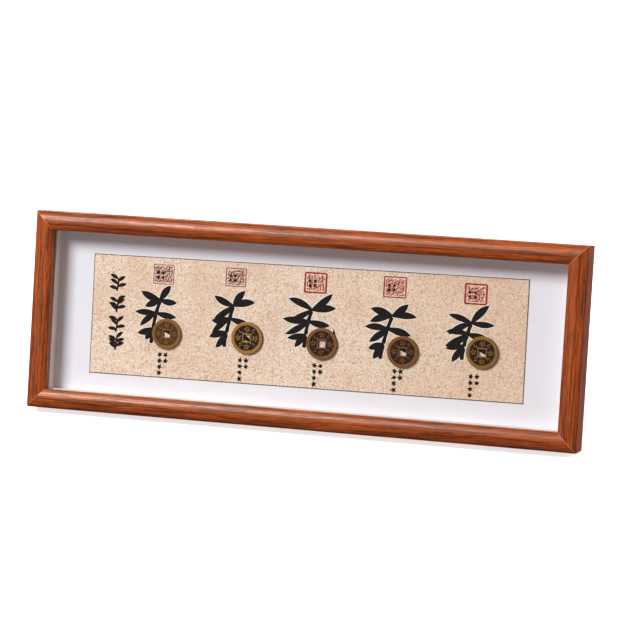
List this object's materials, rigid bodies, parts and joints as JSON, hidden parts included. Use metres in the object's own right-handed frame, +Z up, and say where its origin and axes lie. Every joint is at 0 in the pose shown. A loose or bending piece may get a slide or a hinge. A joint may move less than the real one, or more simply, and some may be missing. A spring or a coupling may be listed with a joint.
{
  "type": "coin display frame",
  "caption": "Long shallow shadow-box frame with a wood-grain moulding, glass, a printed sheet with square-holed coins, and a hinged strut at the back.",
  "frame": {"origin": "bottom centre of the standing object's box, on the surface it stands on", "axes": "+Z up, +X along the frame's width to the right as seen from the front, -Y towards the viewer; the frame leans back 13 degrees on its strut"},
  "size_m": [0.44, 0.0756, 0.158],
  "materials": {
    "rail_wrap": "reddish-brown wood-grain wrap, satin gloss",
    "nail_steel": "bright wire steel",
    "glass": "clear float glass",
    "spacer_white": "white faced card, matt",
    "mount_white": "white faced foam board, matt",
    "printed_paper": "cream paper printed with a mottled ground, matt",
    "coin_worn_bronze": "worn warm bronze",
    "coin_bright_brass": "brass rim over a dark field",
    "coin_red_bronze": "dark reddish bronze",
    "coin_brown_bronze": "brown bronze",
    "coin_olive_brass": "olive brass rim over a dark field",
    "glue": "clear hot-melt glue",
    "back_fibreboard": "smooth brown fibreboard",
    "plated_steel": "zinc-plated, pale yellow",
    "hinge_steel": "nickel-plated, satin"
  },
  "bodies": {
    "frame": {"top_rail": "rail_wrap", "bottom_rail": "rail_wrap", "left_rail": "rail_wrap", "right_rail": "rail_wrap", "corner_v_nails": "nail_steel", "glass_pane": "glass", "top_spacer": "spacer_white", "bottom_spacer": "spacer_white", "left_spacer": "spacer_white", "right_spacer": "spacer_white", "mount_board": "mount_white", "printed_sheet": "printed_paper", "coin_1": "coin_worn_bronze", "coin_2": "coin_bright_brass", "coin_3": "coin_red_bronze", "coin_4": "coin_brown_bronze", "coin_5": "coin_olive_brass", "coin_glue_dots": "glue", "back_board": "back_fibreboard", "turn_button_screws": "plated_steel", "hinge_back_leaf": "hinge_steel", "hinge_back_rivets": "hinge_steel", "hinge_pin": "hinge_steel", "sawtooth_hanger": "plated_steel", "hanger_nails": "nail_steel"},
    "strut": {"easel_strut": "back_fibreboard", "hinge_strut_leaf": "hinge_steel", "hinge_strut_rivets": "hinge_steel"},
    "turn_button_top_left_body": {"turn_button_top_left": "plated_steel"},
    "turn_button_top_right_body": {"turn_button_top_right": "plated_steel"},
    "turn_button_bottom_left_body": {"turn_button_bottom_left": "plated_steel"},
    "turn_button_bottom_right_body": {"turn_button_bottom_right": "plated_steel"},
    "turn_button_left_body": {"turn_button_left": "plated_steel"},
    "turn_button_right_body": {"turn_button_right": "plated_steel"}
  },
  "joints": [
    {"name": "strut_hinge", "type": "hinge", "parent": "frame", "child": "strut", "pos_m": [0, 0.01876, 0.1124], "axis": [1, 0, 0], "range_deg": [-22, 0]},
    {"name": "turn_button_top_left_pivot", "type": "hinge", "parent": "frame", "child": "turn_button_top_left_body", "pos_m": [-0.13, 0.02449, 0.14699], "axis": [0, 0.9744, -0.225], "range_deg": [-90, 90]},
    {"name": "turn_button_top_right_pivot", "type": "hinge", "parent": "frame", "child": "turn_button_top_right_body", "pos_m": [0.13, 0.02449, 0.14699], "axis": [0, 0.9744, -0.225], "range_deg": [-90, 90]},
    {"name": "turn_button_bottom_left_pivot", "type": "hinge", "parent": "frame", "child": "turn_button_bottom_left_body", "pos_m": [-0.13, -0.00836, 0.00474], "axis": [0, 0.9744, -0.225], "range_deg": [-90, 90]},
    {"name": "turn_button_bottom_right_pivot", "type": "hinge", "parent": "frame", "child": "turn_button_bottom_right_body", "pos_m": [0.13, -0.00836, 0.00474], "axis": [0, 0.9744, -0.225], "range_deg": [-90, 90]},
    {"name": "turn_button_left_pivot", "type": "hinge", "parent": "frame", "child": "turn_button_left_body", "pos_m": [-0.215, 0.00806, 0.07587], "axis": [0, 0.9744, -0.225], "range_deg": [-90, 90]},
    {"name": "turn_button_right_pivot", "type": "hinge", "parent": "frame", "child": "turn_button_right_body", "pos_m": [0.215, 0.00806, 0.07587], "axis": [0, 0.9744, -0.225], "range_deg": [-90, 90]}
  ]
}
